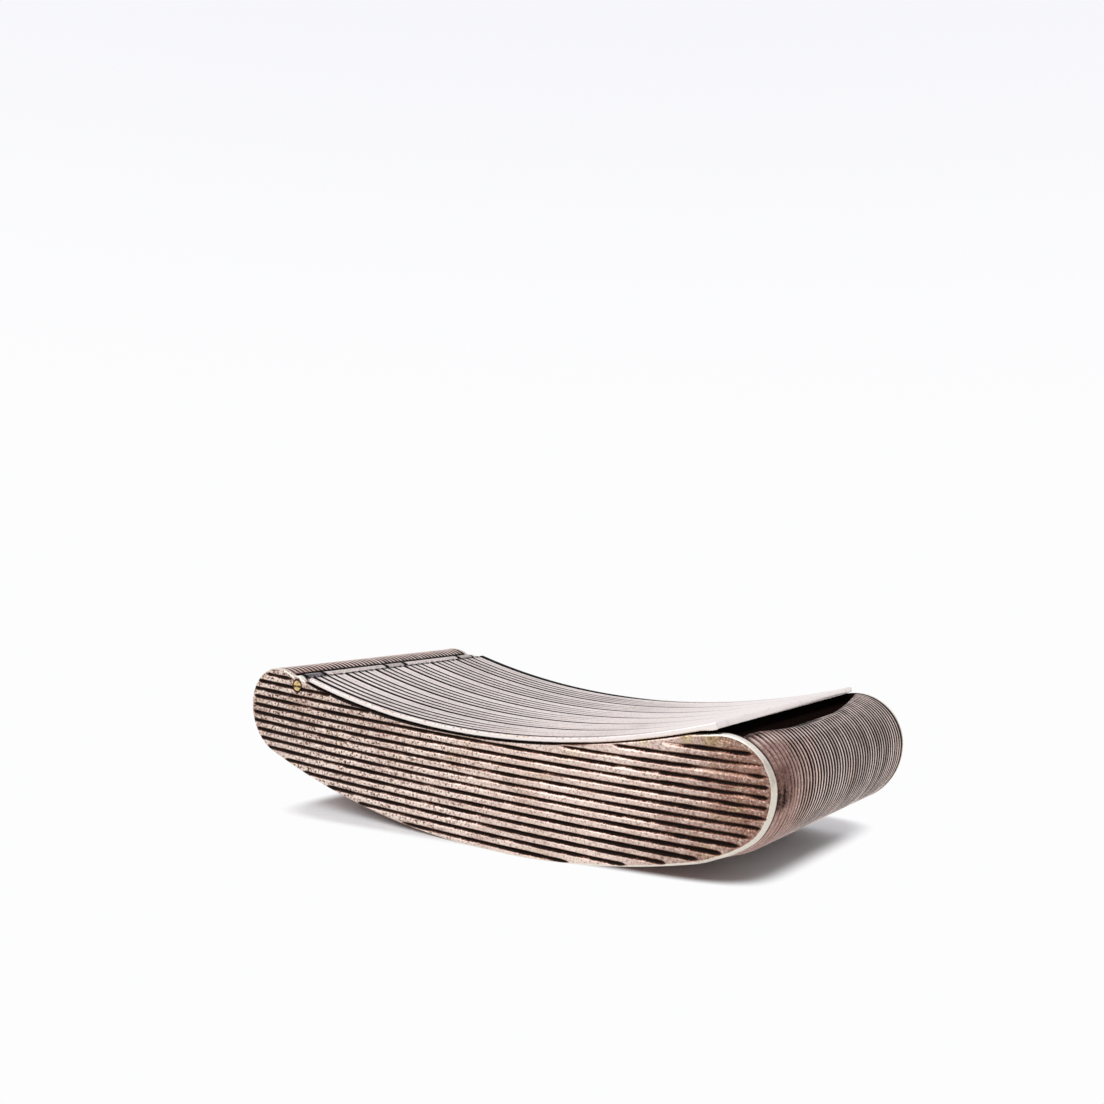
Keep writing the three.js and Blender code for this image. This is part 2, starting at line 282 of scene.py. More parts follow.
def ramp(tree, value, low, high, start=0.0, end=1.0):
    node = tree.nodes.new("ShaderNodeMapRange")
    node.interpolation_type = "SMOOTHSTEP"
    names = ("Value", "From Min", "From Max", "To Min", "To Max")
    for name, given in zip(names, (value, low, high, start, end)):
        feed(tree, node.inputs[name], given)
    return node.outputs[0]


def blendColour(tree, amount, under, over, mode="MIX"):
    node = tree.nodes.new("ShaderNodeMix")
    node.data_type = "RGBA"
    node.blend_type = mode
    feed(tree, node.inputs["Factor"], amount)
    feed(tree, node.inputs[6], under)
    feed(tree, node.inputs[7], over)
    return node.outputs[2]


def grain(tree, where, scale, detail=3.0, roughness=0.55):
    node = tree.nodes.new("ShaderNodeTexNoise")
    feed(tree, node.inputs["Vector"], where)
    node.inputs["Scale"].default_value = scale
    node.inputs["Detail"].default_value = detail
    node.inputs["Roughness"].default_value = roughness
    return node.outputs["Fac"]


def millimetres(tree):  # place on the piece, in millimetres
    place = tree.nodes.new("ShaderNodeTexCoord")
    return vectorSums(tree, "MULTIPLY", place.outputs["Object"], (1 / metre, 1 / metre, 1 / metre))


def newGroup(name, inputs, outputs):
    group = bpy.data.node_groups.new(name, "ShaderNodeTree")
    for label, kind, value in inputs:
        socket = group.interface.new_socket(label, in_out="INPUT", socket_type="NodeSocket" + kind)
        socket.default_value = value
    for label, kind in outputs:
        group.interface.new_socket(label, in_out="OUTPUT", socket_type="NodeSocket" + kind)
    return group, group.nodes.new("NodeGroupInput").outputs, group.nodes.new("NodeGroupOutput").inputs


# Patina: oxide with a brown fringe in the grooves, dull blotches, streaks, specks and a bright filed edge.
# The dark mark and the oxide colour also lay painted shade, and the edge mark with the filed colour also
# lays painted highlights
patinaGrain = {  # scale for each millimetre, detail, roughness
    "broad": (0.11, 4, 0.55),
    "cloudy": (0.6, 4, 0.6),
    "fine": (4.5, 3, 0.6),
    "grit": (3.8, 2, 0.7),
    "streak": (1.7, 4, 0.62),
    "tint": (0.35, 3, 0.55),
}
patinaSteps = {  # from, to, and what these become
    "blotch": (0.42, 0.95),
    "worn": (0.46, 0.7),
    "tint": (0.56, 0.74),
    "spot": (0.3, 0.6),
    "mottle": (0.3, 0.75, 0.84, 1.12),
    "bare": (0.46, 0.34),
    "speck": (0.51, 0.62),
    "pit": (0.56, 0.66),
    "filedandhighlight": (0.22, 0.5, 0.6, 1.0),
    "rough": (0.2, 0.8, 0.26, 0.42),
}
patinaShare = {
    "dulling": 0.6,
    "fringeStart": 0.4,  # the brown fringe starts before the oxide
    "oxideRough": 0.25,
    "blotchRough": 0.08,
    "fineHeight": 0.5,
    "speckDepth": 0.8,
}


def patinaGroup():
    group, given, result = newGroup("patina", [
        # the dark mark lays oxide and dirt, and also painted shade; the edge mark lays filed edges, and
        # also painted highlights
        ("Groove", "Float", 0.0),
        ("Edge", "Float", 0.0),
        ("Dulling", "Float", 0.0),
        ("Spot", "Float", 0.0),
        ("Land", "Color", (0.7, 0.6, 0.5, 1)),
        ("Dull", "Color", (0.4, 0.3, 0.25, 1)),
        ("Fringe", "Color", (0.2, 0.1, 0.08, 1)),
        ("OxideAndShade", "Color", (0.02, 0.01, 0.01, 1)),
        ("FiledAndHighlight", "Color", (0.8, 0.75, 0.7, 1)),
        ("Stain", "Color", (0.6, 0.5, 0.2, 1)),
        ("Start", "Float", 0.1),
        ("Full", "Float", 0.4),
        ("Ragged", "Float", 0.8),
        ("Specks", "Float", 0.5),
        ("Stains", "Float", 0.3),
        ("Streaks", "Float", 0.5),
        ("Run", "Vector", (0.1, 1.0, 1.0)),
    ], [("Color", "Color"), ("Roughness", "Float"), ("Metal", "Float"), ("Height", "Float")])
    where, share = millimetres(group), patinaShare
    grains = ("broad", "cloudy", "fine", "grit")
    broad, cloudy, fine, grit = (grain(group, where, *patinaGrain[name]) for name in grains)
    streak = grain(group, vectorSums(group, "MULTIPLY", where, given["Run"]), *patinaGrain["streak"])

    def step(name, value):
        return ramp(group, value, *patinaSteps[name])

    def layOver(under, amount, label):
        return blendColour(group, amount, under, given[label])

    uneven = minus(group, plus(group, plus(group, cloudy, fine), streak), 1.5)  # less their mean
    uneven = plus(group, times(group, uneven, given["Ragged"]), 1.0)
    sunk = times(group, given["Groove"], uneven)
    oxideandshade = ramp(group, sunk, given["Start"], given["Full"])
    halfFull = times(group, plus(group, given["Start"], given["Full"]), 0.5)
    fringe = ramp(group, sunk, times(group, given["Start"], share["fringeStart"]), halfFull)
    blotch = step("blotch", plus(group, broad, times(group, given["Dulling"], share["dulling"])))
    worn = times(group, step("worn", streak), given["Streaks"])
    colour = layOver(given["Land"], most(group, blotch, worn), "Dull")
    tint = times(group, step("tint", grain(group, where, *patinaGrain["tint"])), given["Stains"])
    spotted = times(group, given["Spot"], step("spot", cloudy))
    colour = layOver(colour, most(group, tint, spotted), "Stain")
    grey = group.nodes.new("ShaderNodeCombineColor")
    mottle = step("mottle", fine)
    for name in ("Red", "Green", "Blue"):
        group.links.new(mottle, grey.inputs[name])
    colour = blendColour(group, 1.0, colour, grey.outputs[0], "MULTIPLY")
    bare, speck, pitted = (times(group, step(k, grit), given["Specks"]) for k in ("bare", "speck", "pit"))
    colour = layOver(colour, bare, "FiledAndHighlight")
    colour = layOver(colour, most(group, fringe, speck), "Fringe")
    colour = layOver(colour, most(group, oxideandshade, pitted), "OxideAndShade")
    filedandhighlight = times(group, given["Edge"], step("filedandhighlight", cloudy))
    rough = plus(group, step("rough", fine), times(group, oxideandshade, share["oxideRough"]))
    darkening = times(group, oxideandshade, minus(group, 1.0, filedandhighlight))
    relief = times(group, fine, share["fineHeight"])
    group.links.new(layOver(colour, filedandhighlight, "FiledAndHighlight"), result["Color"])
    group.links.new(plus(group, rough, times(group, blotch, share["blotchRough"])), result["Roughness"])
    group.links.new(minus(group, 1.0, darkening), result["Metal"])
    group.links.new(minus(group, relief, times(group, speck, share["speckDepth"])), result["Height"])
    return group


# Hairlines: fine rubbing marks that run one way
def hairlineGroup():
    inputs, outputs = [("Run", "Vector", (0.05, 1.0, 1.0))], [("Height", "Float")]
    group, given, result = newGroup("hairlines", inputs, outputs)
    along = vectorSums(group, "MULTIPLY", millimetres(group), given["Run"])
    group.links.new(grain(group, along, 9.0, 2), result["Height"])
    return group


patina, hairlines = patinaGroup(), hairlineGroup()


def readMark(tree, name):
    node = tree.nodes.new("ShaderNodeAttribute")
    node.attribute_name = name
    return node.outputs["Fac"]


def placeOnAxes(tree):
    split = tree.nodes.new("ShaderNodeSeparateXYZ")
    tree.links.new(millimetres(tree), split.inputs[0])
    return split.outputs


def lengthwise(tree, stretches):  # an amount that changes along the box
    place, total = placeOnAxes(tree), 0.0
    for fromX, toX, amount in stretches:
        total = plus(tree, ramp(tree, place["X"], fromX, toX, 0.0, amount), total)
    return total


def recess(tree, spans):  # one where the ramps over x and z are both full
    place = placeOnAxes(tree)
    return times(tree, ramp(tree, place["X"], *spans[0]), ramp(tree, place["Z"], *spans[1]))


def giltSpots(tree, spots):  # rubbed places where the gilding of the inside has run over
    place, total = millimetres(tree), 0.0
    for x, z, size in spots:
        gap = vectorSums(tree, "DISTANCE", place, (x, -halfWidth, z))
        total = most(tree, ramp(tree, gap, size, 0.0, 0.0, spotStrength), total)
    return total


placedMarks = (  # value of a look, patina input that it feeds, how
    ("dullEnds", "Dulling", lengthwise),
    ("speckled", "Specks", lengthwise),
    ("notchShade", "Groove", recess),
    ("giltSpots", "Spot", giltSpots),
)
bumpHeight = 0.02
spotStrength = 0.8


def silverFinish(name, look):
    finish = bpy.data.materials.new(name)
    finish.use_nodes = True
    tree = finish.node_tree
    shader = tree.nodes["Principled BSDF"]
    shader.inputs["Specular IOR Level"].default_value = look["dirtShine"]
    aged = tree.nodes.new("ShaderNodeGroup")
    aged.node_tree = patina
    for label in aged.inputs.keys():
        if label.lower() in look:
            aged.inputs[label].default_value = look[label.lower()]
    for label in look["marks"]:
        tree.links.new(readMark(tree, label.lower()), aged.inputs[label])
    for key, label, amount in placedMarks:
        if key in look:
            feed(tree, aged.inputs[label], amount(tree, look[key]))
    rubbed = tree.nodes.new("ShaderNodeGroup")
    rubbed.node_tree = hairlines
    rubbed.inputs["Run"].default_value = look["run"]
    scratches = times(tree, rubbed.outputs["Height"], look["rub"])
    bump = tree.nodes.new("ShaderNodeBump")
    bump.inputs["Strength"].default_value = look["bump"]
    bump.inputs["Distance"].default_value = bumpHeight * metre
    tree.links.new(plus(tree, aged.outputs["Height"], scratches), bump.inputs["Height"])
    tree.links.new(bump.outputs["Normal"], shader.inputs["Normal"])
    for label, socket in (("Color", "Base Color"), ("Roughness", "Roughness"), ("Metal", "Metallic")):
        tree.links.new(aged.outputs[label], shader.inputs[socket])
    return finish


plateLook = {
    "land": linear(247, 224, 212),
    "dull": linear(159, 122, 108),
    "fringe": linear(124, 84, 66),
    "oxideandshade": linear(26, 14, 9),
    "dirtShine": 0.1,
    "filedandhighlight": linear(244, 238, 226),
    "stain": linear(196, 176, 120),
    "start": 0.14,
    "full": 0.6,
    "ragged": 1.5,
    "stains": 0.3,
    "streaks": 0.4,
    "marks": ("Groove", "Edge"),
    "dullEnds": ((22, 38, 0.8), (12, 26, 0.1), (-14, -34, 0.25)),  # from x, to x, how much
    "speckled": ((-40, -39, 0.3), (12, -24, 0.7), (18, 34, 0.1)),
    "giltSpots": (  # x, z, size
        (30.6, 16.5, 1.7),
        (27.8, 16.4, 1.2),
        (22.6, 15.4, 1.1),
        (-23.9, 15.2, 1.2),
        (-2.0, 13.6, 1.4),
    ),
    "run": (0.1, 1.0, 1.0),
    "rub": 0.5,
    "bump": 0.35,
}
bandLook = {
    **plateLook,
    "land": linear(255, 223, 210),
    "dull": linear(176, 141, 130),
    "fringe": linear(122, 88, 78),
    "oxideandshade": linear(9, 5, 4),
    "filedandhighlight": linear(255, 236, 226),
    "start": 0.46,
    "full": 0.7,
    "ragged": 0.9,
    "specks": 0.3,
    "stains": 0.1,
    "streaks": 0.35,
    "marks": ("Groove", "Edge", "Dulling"),
    "run": (0.12, 1.0, 0.12),
}
del bandLook["dullEnds"], bandLook["speckled"], bandLook["giltSpots"]
lidLook = {
    **bandLook,
    "land": linear(251, 232, 223),
    "dull": linear(178, 155, 146),
    "fringe": linear(104, 82, 75),
    "oxideandshade": linear(14, 9, 8),
    "filedandhighlight": linear(250, 241, 237),
    "stain": linear(222, 204, 164),
    "stains": 0.45,
    "start": 0.16,
    "full": 0.46,
    "ragged": 0.9,
    "specks": 0.45,
    "streaks": 0.55,
    "run": (0.06, 1.0, 0.06),
}
lidTubeLook = {
    **lidLook,
    "land": linear(240, 227, 219),
    "dull": linear(150, 134, 128),
    "marks": ("Groove",),
    "specks": 0.5,
    "streaks": 0.5,
    "run": (1.0, 0.2, 1.0),
}
wornTubeLook = {
    **lidTubeLook,
    "land": linear(192, 180, 176),
    "dull": linear(98, 88, 86),
}
# painted shade: a darker copy of the tube silver for the front body knuckle
shadedTubeLook = {
    **lidTubeLook,
    "land": linear(104, 94, 100),
    "dull": linear(56, 46, 52),
    "fringe": linear(40, 32, 36),
}
giltLook = {
    **lidLook,
    "land": linear(214, 178, 112),
    "dull": linear(176, 140, 86),
    "fringe": linear(134, 98, 52),
    "oxideandshade": linear(34, 21, 12),
    "notchShade": ((28.5, 30.5), (13, 14.5)),  # painted shade in the recess behind the notch, in x and z
    "filedandhighlight": linear(232, 204, 140),
    "stain": linear(214, 150, 80),
    "marks": (),
    "specks": 0.2,
    "streaks": 0.2,
}
# painted shade: near-black finish for faces that only show in the dark gaps
shadeBlackLook = {
    **giltLook,
    "groove": 1.0,
    "fringe": linear(60, 40, 30),
    "oxideandshade": linear(20, 12, 10),
    "full": 0.9,
    "dirtShine": 0.0,
}
del shadeBlackLook["notchShade"]
pinLook = {
    **giltLook,
    "land": linear(240, 210, 154),
    "dull": linear(196, 158, 100),
    "marks": ("Groove",),
    "specks": 0.5,
    "run": (1.0, 1.0, 0.08),
}
del pinLook["notchShade"]
plateSilver = silverFinish("plateSilver", plateLook)
bandSilver = silverFinish("bandSilver", bandLook)
lidSilver = silverFinish("lidSilver", lidLook)
lidTubeSilver = silverFinish("lidTubeSilver", lidTubeLook)
wornTubeSilver = silverFinish("wornTubeSilver", wornTubeLook)
shadedTubeSilver = silverFinish("shadedTubeSilver", shadedTubeLook)
giltSilver = silverFinish("giltSilver", giltLook)
paintedShadeSilver = silverFinish("paintedShadeSilver", shadeBlackLook)  # near-black painted shade for faces that look out into the dark gaps
pinBrass = silverFinish("pinBrass", pinLook)
print("finishes made")

# Side plates: reeded sheet with a filed edge and an ear round the pin
sidePlate = {
    "reedPitch": 1.045,
    "reedBow": 0.66,  # rise of the reeds at both ends
    "reedFan": -0.016,  # reeds draw together a little towards the thumb end
    "firstGroove": 0.76,
    "grooveReach": 0.5,  # half the mouth of a groove
    "grooveDepth": 0.28,
    "upperFlank": ((-38, 2.2), (-12, 2.8), (16, 2.8), (27, 1.8)),  # x, how sharply it drops
    "lowerFlank": ((-38, 1.6), (-12, 1.7), (16, 1.7), (27, 1.6)),
    "grooveDirt": ((-38, 1.35), (-16, 1.05), (-4, 0.9), (12, 0.86), (24, 0.98), (38, 1.15)),  # x, amount
    "edgeRound": ((-38, 0.2), (0, 0.28), (24, 0.34), (34, 0.5)),  # x, amount
    "lowWear": ((30, 0.0), (32, 0.3), (34, 0.5), (35.2, 0.46), (36.2, 0.36), (38, 0.4)),  # x, front worn in
    "topWear": ((28, 0.0), (31, 0.42), (33.5, 0.52), (36, 0.55), (37.2, 0.5), (38, 0.4)),
    "wornWidth": 3.0,  # how far that wear runs over the band
    "edgeShine": (0.3, 1.0),
    "rimShine": (27, 32),  # painted light: the rim is bright only past the lid, and left unlit under it as painted shade
    "edgeShade": (0.2, 0.42),  # painted shade: the sheet's edge darkens towards the band
    # how dark that painted shade gets
    "creaseShade": 0.6,
    "edgeSteps": 6,
    "plainEdge": ((-38, 0.1), (20, 0.15), (34, 0.42)),
    "grooveStart": (0.9, 2.2),  # a groove starts and is full at these shares of the plain edge
    "reedWander": 0.012,
    "depthWander": 0.4,
    "barSpare": 0.6,  # how far the cutting bars stand out of the sheet
    "barLift": 0.02,
    "lowDirt": (0.4, (7.5, 3.5), (-8, 6)),  # more dirt low down: amount, over z, over x
    "rubbedOut": (0.7, (8, 12), (12, 24)),  # less at the upper right
    "sideShine": (0.78, (14.5, 16.5)),  # painted light: the filed edge is dimmer below its top corner: amount, over z
    "rimRound": (  # x, amount
        (-28.2, 0.2), (-24, 0.4), (-12, 0.36), (-4, 0.2), (6, 0.16), (20, 0.2), (30, 0.32),
    ),
    # painted shadow of the lid along the top rim, strongest towards the hinge end: x, amount
    "rimShadow": ((-28.2, 0.0), (-27, 1.0), (2, 1.0), (9, 0.7), (15, 0.25), (20, 0.05), (33.5, 0.0)),
    "earRadius": 1.3,
    "earSteps": 24,
    "earPlain": ((-1.8, -0.8), (2.2, 1.4), 0.4),  # no groove over the ear: x, x and z off the pin
    "pinHole": 0.83,
    "holeBreak": 0.12,
    "stations": 110,
}


def plateOutline():
    top, topRadius, earRadius = hingeEnd["top"], hingeEnd["topRadius"], sidePlate["earRadius"]
    skinEnd = meetAngle(top, topRadius, hingeAxis, earRadius, 1)
    earStart = meetAngle(hingeAxis, earRadius, top, topRadius, -1) + fullTurn
    earEnd = meetAngle(hingeAxis, earRadius, rimCentre, bodyLine["rimRadius"], -1)
    earX = hinge.x + earRadius * math.cos(earEnd)
    thumbX = thumbEnd["top"][0] + thumbEnd["topRadius"] * math.cos(thumbEnd["topMeet"])
    return counterClockwise(flat(joinLines(
        skinLine(thumbEnd["topMeet"], skinEnd),
        arc(hingeAxis, earRadius, earStart, earEnd, sidePlate["earSteps"]),
        rimLine(earX, thumbX)[:-1],
    )))


def insetDirections(points):  # how far each corner moves for an inset of one
    moves = []
    for i, (x, z) in enumerate(points):
        before, after = points[i - 1], points[(i + 1) % len(points)]
        sides = []
        for a, b in ((before, (x, z)), ((x, z), after)):
            length = math.hypot(b[0] - a[0], b[1] - a[1])
            sides.append(((a[1] - b[1]) / length, (b[0] - a[0]) / length))
        share = 1 + sides[0][0] * sides[1][0] + sides[0][1] * sides[1][1]
        moves.append(((sides[0][0] + sides[1][0]) / share, (sides[0][1] + sides[1][1]) / share))
    return moves


outline = plateOutline()
insets = insetDirections(outline)


def edgeDistance(x, z):  # distance to the outline, negative outside
    nearest, inside = 1e9, False
    for (ax, az), (bx, bz) in zip(outline, outline[1:] + outline[:1]):
        share = ((x - ax) * (bx - ax) + (z - az) * (bz - az)) / ((bx - ax) ** 2 + (bz - az) ** 2)
        share = max(0.0, min(1.0, share))
        nearest = min(nearest, math.hypot(x - ax - share * (bx - ax), z - az - share * (bz - az)))
        if (az > z) != (bz > z) and x < ax + (z - az) * (bx - ax) / (bz - az):
            inside = not inside
    return nearest if inside else -nearest


def alongBox(pair, x):  # value at the hinge end blending to the one at the thumb end
    return pair[0] + (pair[1] - pair[0]) * smoothStep(-halfLength, halfLength, x)


def between(steps, x):  # value read off a short list of (x, value)
    for (ax, a), (bx, b) in zip(steps, steps[1:]):
        if x <= bx:
            return a + (b - a) * max(0.0, (x - ax) / (bx - ax))
    return steps[-1][1]


def endWear(x, y, z):  # how far the front of the thumb end is worn in
    fade = max(0.0, min(1.0, 1 - (y + innerHalf) / sidePlate["wornWidth"]))
    upper = z > bodyLine["endHeight"]
    return between(sidePlate["topWear" if upper else "lowWear"], x) * fade ** 2


def plateBlank(side):
    steps, (low, high) = sidePlate["edgeSteps"], sidePlate["edgeShade"]
    turns = [math.pi / 2 * i / steps for i in range(steps + 1)]
    rings = [[] for i in range(steps + 4)]
    for (x, z), (mx, mz) in zip(outline, insets):
        onRim = mz < -0.5 and x > hinge.x + 1
        radius = between(sidePlate["rimRound" if onRim else "edgeRound"], x)
        wear = endWear(x, side * halfWidth, z)
        rows = [(wear + radius * (1 - math.sin(t)), halfWidth - radius * (1 - math.cos(t))) for t in turns]
        rows += [(wear, innerHalf + above) for above in (high, low, 0.0)]
        for ring, (inset, y) in zip(rings, rows):
            ring.append((x + mx * inset, side * y, z + mz * inset))
    return sweep(range(len(rings)), range(len(outline)), lambda s, p: rings[s][p])


def grooveBar(number, side, seed):
    steps, spare = sidePlate["stations"], sidePlate["barSpare"]
    height = sidePlate["firstGroove"] + number * sidePlate["reedPitch"]
    reach, depth = sidePlate["grooveReach"], sidePlate["grooveDepth"]
    earFrom, earTo, earLow = sidePlate["earPlain"]
    section = [s / 7 for s in range(-7, 8)]
    stations = []
    for i in range(steps + 1):
        x = (halfLength + spare) * (2 * i / steps - 1)
        share, offPin = x / halfLength, x - hinge.x
        z = height + sidePlate["reedBow"] * share ** 2 + sidePlate["reedFan"] * number * share
        z += sidePlate["reedWander"] * waver(x * 0.12, seed * 7.3)
        plain = between(sidePlate["plainEdge"], x)
        start, full = (plain * part for part in sidePlate["grooveStart"])
        cut = smoothStep(start, full, edgeDistance(x, z) - endWear(x, side * halfWidth, z))
        if z > hinge.z + earLow:
            cut *= 1 - smoothStep(*earFrom, offPin) * smoothStep(*earTo, offPin)
        cut *= 1 + sidePlate["depthWander"] * waver(x * 0.2, seed * 3.1, 4.0)
        stations.append((x, z, cut))

    def place(station, s):
        x, z, cut = station
        if abs(s) > 1:
            return (x, side * (halfWidth + spare), z + math.copysign(reach, s))
        drop = between(sidePlate["upperFlank" if s > 0 else "lowerFlank"], x)
        lift = sidePlate["barLift"] * (abs(s) + 1 - min(1, cut))
        sunk = depth * cut * (1 - abs(s)) ** drop - lift
        return (x, side * (halfWidth - sunk), z + s * reach)
    return sweep(stations, [-2, *section, 2], place)


def grooveBars(side):
    verts, faces = [], []
    topHeight = bodyLine["endHeight"] + thumbEnd["topRadius"]
    for number in range(int((topHeight - sidePlate["firstGroove"]) / sidePlate["reedPitch"]) + 1):
        barVerts, barFaces = grooveBar(number, side, number if side < 0 else number + 40)
        faces += [tuple(v + len(verts) for v in f) for f in barFaces]
        verts += barVerts
    return meshObject("groove_bars", verts, faces)


def roundHinge(turn, radius, y):
    return (hinge.x + radius * math.cos(turn), y, hinge.z + radius * math.sin(turn))


def turnsRound(sides):
    return [fullTurn * i / sides for i in range(sides)]


def turnedPiece(name, rows, sides):  # rows of (y, radius) turned round the pin
    def place(row, turn):
        return roundHinge(turn, row[1], row[0])
    return meshObject(name, *sweep(rows, turnsRound(sides), place))


def pinDrill():  # bit with a broken edge at both faces
    hole, edge = sidePlate["pinHole"], sidePlate["holeBreak"]
    half = [(halfWidth - edge, hole), (halfWidth + 0.5, hole + edge + 0.5)]
    return turnedPiece("pin_drill", [(-y, r) for y, r in reversed(half)] + half, 40)


def makePlate(side, node):
    edgePart, facePart, groovePart = range(3)
    plate = meshObject(node + "_sheet", *plateBlank(side))
    parts = [bpy.data.materials.new("part" + str(i)) for i in range(3)]
    for part in parts:
        plate.data.materials.append(part)
    for face in plate.data.polygons:
        face.material_index = facePart if face.normal.y * side > 0.99 else edgePart
    for tool in (grooveBars(side), pinDrill()):
        for part in parts:
            tool.data.materials.append(part)
        for face in tool.data.polygons:
            face.material_index = groovePart
        cutAway(plate, tool)
    grooves = plate.data.attributes.new("groove", "FLOAT", "CORNER")
    edges = plate.data.attributes.new("edge", "FLOAT", "CORNER")
    darkLow, darkHigh = (innerHalf + above for above in sidePlate["edgeShade"])
    lowDirt, lowZ, lowX = sidePlate["lowDirt"]
    rubbedOut, rubbedZ, rubbedX = sidePlate["rubbedOut"]
    sideShine, cornerZ = sidePlate["sideShine"]
    inner = []
    for face in plate.data.polygons:
        part = face.material_index
        middle = face.center / metre
        onRim = face.normal.z > 0.25 and abs(middle.x) < halfLength and middle.x > hinge.x
        for corner in face.loop_indices:
            x, y, z = plate.data.vertices[plate.data.loops[corner].vertex_index].co / metre
            darkening, shine = 0.0, 0.0
            if part == groovePart:
                darkening = between(sidePlate["grooveDirt"], x) * (halfWidth - abs(y)) / sidePlate["grooveDepth"]
                darkening *= 1 + lowDirt * smoothStep(*lowZ, z) * smoothStep(*lowX, x)
                rubbed = smoothStep(*rubbedX, x) * smoothStep(*rubbedZ, z)
                darkening *= 1 - rubbedOut * rubbed * smoothStep(-0.1, 0.4, waver(x * 0.28, z * 0.8, 7.0))
            elif part == edgePart:
                # painted shadow of the lid on the rim
                rim = between(sidePlate["rimShadow"], x) if onRim else 0.0
                # painted shade where the edge turns in towards the band
                lit = smoothStep(darkLow, darkHigh, abs(y))
                darkening = max(rim, sidePlate["creaseShade"] * (1 - lit))
                # painted highlight round the ear
                onEar = math.hypot(x - hinge.x, z - hinge.z) < 1.2 * sidePlate["earRadius"]
                shine = lit if onEar else lit * alongBox(sidePlate["edgeShine"], x)
                shine *= sideShine + (1 - sideShine) * smoothStep(*cornerZ, z)
                if onRim and not onEar:
                    shine *= smoothStep(*sidePlate["rimShine"], x)
            grooves.data[corner].value = darkening
            edges.data[corner].value = shine
        inner.append(1 if abs(middle.y) < innerHalf + 0.01 else 0)
    finishPiece(plate, "body", node, [plateSilver, giltSilver], inner)
    for part in parts:
        bpy.data.materials.remove(part)


makePlate(-1, "front_side_plate")
makePlate(1, "rear_side_plate")
print("side plates cut")

# Wrap band: fine reeds round the base and both ends, with the filed thumb notch
wrapBand = {
    "thick": 0.9,
    "reeds": 46,
    "reedDepth": 0.19,
    "reedRound": 1.8,
    "reedPoints": (-1.0, -0.8, -0.5, -0.2, 0.2, 0.5, 0.8),
    "sideGap": 0.03,
    "notchX": 34.7,
    "notchShift": -3.0,  # the notch leans to the front
    "notchRadius": 66.0,
    "notchRound": 0.8,
    "notchRows": (0.0, 0.03, 0.1, 0.2, 0.33, 0.5, 0.7, 0.85),  # shares of that rounding
    "notchDrop": 0.85,
    "hingeClear": 1.15,
    "leastWall": 0.05,
    "handled": (-17, -2),  # rubbed smooth from here to there
    "rubbedReed": 0.5,  # what is left of the reeds there
    "shoulder": ((-30, -33), (14.5, 16)),  # where the shoulder starts and is full, in x and z
    "valleyDirt": (0.5, 1.4, 0.8, 1.1),  # least, more past the rubbed part, unevenness, at the shoulder
    "crest": (1.4, 2.6),
    "lipShade": ((0.5, 0.1), (0.95, 0.4), 0.65),  # painted shade under the lid's lip: dark, then brown, over the notch rounding; how brown
    "gleam": ((8, 9.5), (13, 11)),  # painted highlight: bright rows below the notch
    "shade": (0.52, (-11, -16), (8.5, 11), (16, 14.2)),  # dark beside the front plate: amount, over y, z, z
    "brown": (0.75, (17, 7)),  # brown oxide and painted shade below the notch, under the lid's lip: amount, over rows
    "dullness": (0.8, 0.75, 0.3, 0.5),  # most, less past the rubbed part, unevenness, less at the shoulder
    "endShade": 0.3,  # painted shade line where the band ends at the hinge
}
shoulderX = hinge.x - wrapBand["hingeClear"]


def notchEdge(y):
    radius = wrapBand["notchRadius"]
    return wrapBand["notchX"] - radius + math.sqrt(radius ** 2 - (y - wrapBand["notchShift"]) ** 2)


def bandColumn(y):  # places down one line of the band, each with its share of the notch rounding
    centre, radius = thumbEnd["top"], thumbEnd["topRadius"]
    first = turnAt(thumbEnd, notchEdge(y))
    rounding = wrapBand["notchRound"] / radius
    rows = wrapBand["notchRows"]
    column = [(arcPoint(centre, radius, first - share * rounding), share) for share in rows]
    line = skinLine(first - rounding, turnAt(hingeEnd, shoulderX))
    # the painted shade line starts this far before the end
    shadeTurn = turnAt(hingeEnd, shoulderX - wrapBand["endShade"])
    nearEnd = arcPoint(hingeEnd["top"], hingeEnd["topRadius"], shadeTurn)
    return column + [(p, 1.0) for p in (*line[:-1], nearEnd, line[-1])]


